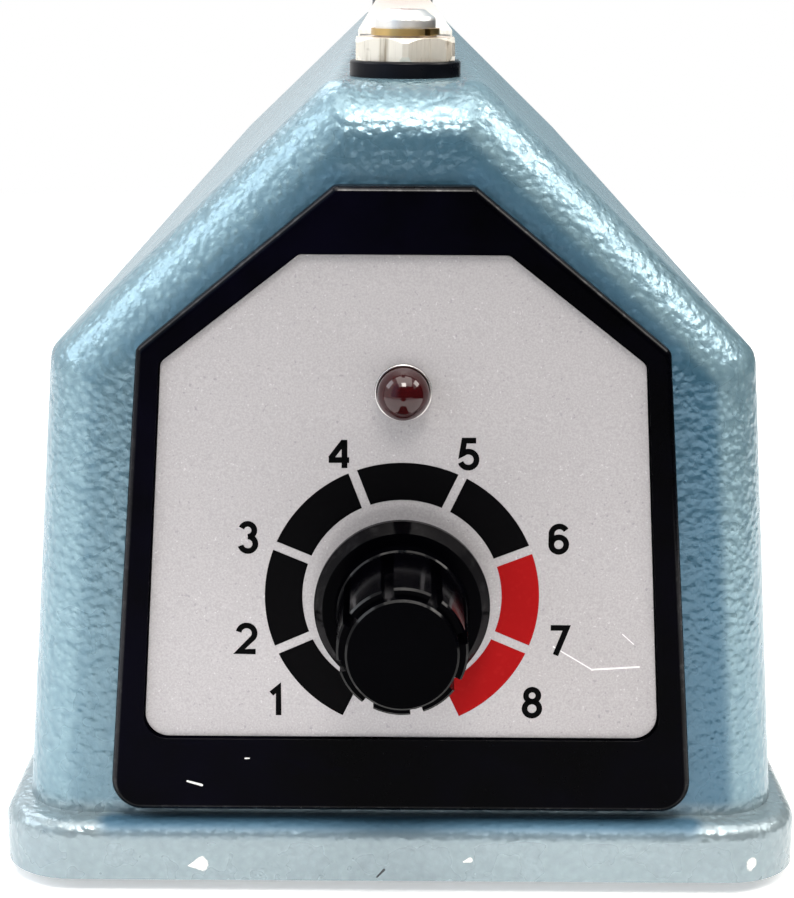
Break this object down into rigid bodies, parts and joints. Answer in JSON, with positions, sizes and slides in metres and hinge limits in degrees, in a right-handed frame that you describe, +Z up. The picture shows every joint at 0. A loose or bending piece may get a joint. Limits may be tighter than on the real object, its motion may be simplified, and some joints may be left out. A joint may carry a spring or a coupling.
{
  "type": "impulse heat sealer",
  "caption": "Hand impulse heat sealer: house-shaped painted casing with time dial, lamp and knob, sealing bed on the ridge, and a sprung sealing arm hinged at the rear.",
  "frame": {"origin": "on the table under the middle of the base", "axes": "+Z up, control panel faces -Y, +X to the right of the panel"},
  "size_m": [0.08, 0.3253, 0.1737],
  "materials": {
    "paint": "hammered enamel",
    "black_plastic": "satin moulded",
    "black_gloss": "polished moulded",
    "plate": "fine speckled, printed",
    "lens": "translucent red",
    "nickel": "nickel plated",
    "zinc": "zinc plated",
    "brass": "bright",
    "steel": "ground",
    "aluminium": "mill finish",
    "rubber": "matt",
    "silicone": "matt",
    "ptfe": "coated glass cloth tape",
    "laminate": "glass laminate",
    "iron": "laminated",
    "copper": "enamelled winding",
    "bobbin": "moulded",
    "board": "printed board",
    "lead": "insulated lead"
  },
  "bodies": {
    "base": {"housing": "paint", "bottom_cover": "zinc", "rubber_feet": "rubber", "cover_screws": "zinc", "front_bezel": "black_plastic", "bezel_screws": "zinc", "dial_plate": "plate", "indicator_lens": "lens", "lamp_holder": "black_plastic", "pot_body": "zinc", "pot_washer": "zinc", "pot_nut": "nickel", "bed_bar": "laminate", "heating_element": "steel", "ptfe_tape": "ptfe", "terminal_insulators": "black_plastic", "terminal_posts": "nickel", "terminal_washers": "brass", "terminal_screws": "nickel", "inner_insulators": "black_plastic", "terminal_nuts": "zinc", "hinge_post": "zinc", "bracket_screws": "zinc", "hinge_pin": "steel", "pin_clip": "zinc", "rod_guide": "brass", "return_spring": "zinc", "micro_switch": "black_plastic", "switch_bracket": "zinc", "switch_screws": "zinc", "transformer_core": "iron", "transformer_bobbin": "bobbin", "transformer_winding": "copper", "transformer_strap": "zinc", "transformer_screws": "zinc", "timer_board": "board", "board_standoffs": "brass", "board_screws": "zinc", "relay": "black_plastic", "capacitors": "black_plastic", "timer_chip": "black_plastic", "secondary_lead_front": "lead", "secondary_lead_rear": "lead", "gland_body": "black_plastic", "gland_cap": "black_plastic", "gland_seal": "rubber", "gland_locknut": "black_plastic"},
    "arm": {"arm": "paint", "arm_bush": "brass", "pressure_bar": "aluminium", "silicone_strip": "silicone", "handle": "black_gloss", "handle_screws": "zinc"},
    "knob": {"control_knob": "black_gloss", "pot_shaft": "aluminium"},
    "rod": {"push_rod": "steel"},
    "lever": {"switch_lever": "steel"},
    "button": {"switch_button": "lens"}
  },
  "joints": [
    {"name": "arm_hinge", "type": "hinge", "parent": "base", "child": "arm", "pos_m": [0, 0.121, 0.0957], "axis": [1, 0, 0], "range_deg": [0, 14], "stiffness_Nm_per_rad": 2, "springref_deg": -25.78},
    {"name": "knob_turn", "type": "hinge", "parent": "base", "child": "knob", "pos_m": [0, -0.14274, 0.03026], "axis": [0, 0.9991, -0.0419], "range_deg": [0, 300]},
    {"name": "rod_press", "type": "slide", "parent": "base", "child": "rod", "axis": [0, 0, -1], "range_m": [0, 0.0048], "deforming": ["return_spring"]},
    {"name": "lever_turn", "type": "hinge", "parent": "base", "child": "lever", "pos_m": [0, 0.119, 0.05353], "axis": [1, 0, 0], "range_deg": [0, 14.9]},
    {"name": "button_press", "type": "slide", "parent": "base", "child": "button", "axis": [0, 0, -1], "range_m": [0, 0.0016]}
  ],
  "couplings": [
    {"joint": "rod_press", "follows": "arm_hinge", "m_per_rad": 0.019531},
    {"joint": "lever_turn", "follows": "arm_hinge", "ratio": 1.0606},
    {"joint": "button_press", "follows": "arm_hinge", "m_per_rad": 0.00651}
  ]
}
